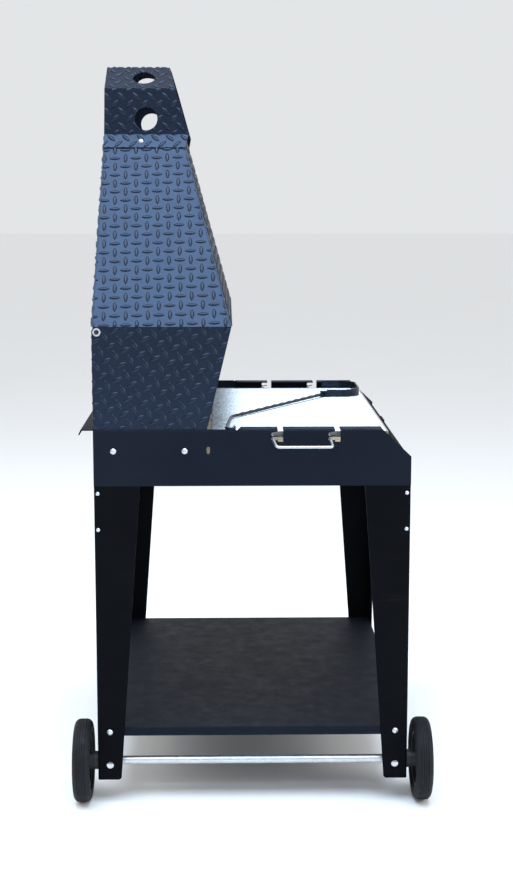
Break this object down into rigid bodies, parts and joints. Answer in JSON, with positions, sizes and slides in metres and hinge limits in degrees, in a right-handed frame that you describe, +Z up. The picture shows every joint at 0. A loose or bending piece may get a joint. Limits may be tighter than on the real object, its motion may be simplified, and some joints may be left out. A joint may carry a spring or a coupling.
{
  "type": "hooded charcoal barbecue cart",
  "caption": "Charcoal and wood barbecue cart: firebrick bed with lift-off grate, tilting tread-plate hood with vented chimney cap, shelf, ember rake and wheels at one end.",
  "frame": {"origin": "on the floor, under the middle of the whole object's plan rectangle, wheels and handles included", "axes": "+Z up, +X along the cart from the wheel end to the standing end, +Y from the user's side to the chimney's back"},
  "size_m": [1.1057, 0.866, 1.783],
  "materials": {
    "panel_paint": "satin near-black powder coat",
    "leg_paint": "satin near-black powder coat",
    "tread_paint": "satin dark blue-grey powder coat on tread plate",
    "ear_paint": "satin near-black powder coat",
    "firebrick": "unglazed beige firebrick",
    "zinc": "zinc plated",
    "stainless": "bright stainless wire and strip",
    "black_iron": "black forged iron",
    "hub_plastic": "moulded black plastic",
    "tyre_rubber": "matt black solid rubber",
    "foot_plastic": "moulded black plastic"
  },
  "bodies": {
    "cart": {"side_panel_left": "panel_paint", "side_panel_right": "panel_paint", "front_panel": "panel_paint", "back_panel": "panel_paint", "firebox_floor": "panel_paint", "firebricks": "firebrick", "leg_rear_left": "leg_paint", "leg_front_left": "leg_paint", "leg_rear_right": "leg_paint", "leg_front_right": "leg_paint", "leg_gussets": "leg_paint", "leg_screws": "zinc", "foot_cap_rear": "foot_plastic", "foot_cap_front": "foot_plastic", "lower_shelf": "panel_paint", "shelf_bolts": "zinc", "shelf_nuts": "zinc", "axle": "zinc", "axle_spacers": "hub_plastic", "axle_washers": "zinc", "axle_caps": "zinc", "hood_cheek_left": "tread_paint", "hood_cheek_right": "tread_paint", "hood_lower_back": "tread_paint", "hood_back_strip": "tread_paint", "cheek_bolts": "zinc", "cheek_nuts": "zinc", "hinge_pins": "zinc", "hinge_nuts": "zinc"},
    "wheel_rear": {"wheel_hub_rear": "hub_plastic", "tyre_rear": "tyre_rubber"},
    "wheel_front": {"wheel_hub_front": "hub_plastic", "tyre_front": "tyre_rubber"},
    "hood": {"hood_front": "tread_paint", "hood_back": "tread_paint", "hood_end_left": "tread_paint", "hood_end_right": "tread_paint", "hinge_ear_left": "ear_paint", "hinge_ear_right": "ear_paint", "chimney_cap": "tread_paint", "cap_bolts": "zinc", "cap_nuts": "zinc"},
    "grate": {"grate_frame": "stainless", "grate_bars": "stainless", "grate_rods": "stainless", "grate_handle_left": "stainless", "grate_handle_right": "stainless"},
    "rake": {"rake_rod": "black_iron", "rake_handle": "black_iron", "rake_socket": "black_iron", "rake_head": "black_iron"}
  },
  "joints": [
    {"name": "wheel_rear_spin", "type": "hinge", "parent": "cart", "child": "wheel_rear", "pos_m": [-0.45285, 0.412, 0.1], "axis": [0, 1, 0], "continuous": true},
    {"name": "wheel_front_spin", "type": "hinge", "parent": "cart", "child": "wheel_front", "pos_m": [-0.45285, -0.412, 0.1], "axis": [0, 1, 0], "continuous": true},
    {"name": "hood_tilt", "type": "hinge", "parent": "cart", "child": "hood", "pos_m": [0.01915, 0.363, 1.148], "axis": [-1, 0, 0], "range_deg": [0, 60]},
    {"name": "grate_shift", "type": "slide", "parent": "cart", "child": "grate", "axis": [0, -0.9848, 0.1736], "range_m": [0, 0.0172]},
    {"name": "rake_lift", "type": "slide", "parent": "grate", "child": "rake", "axis": [0, 0, 1], "range_m": [0, 0.22]}
  ]
}
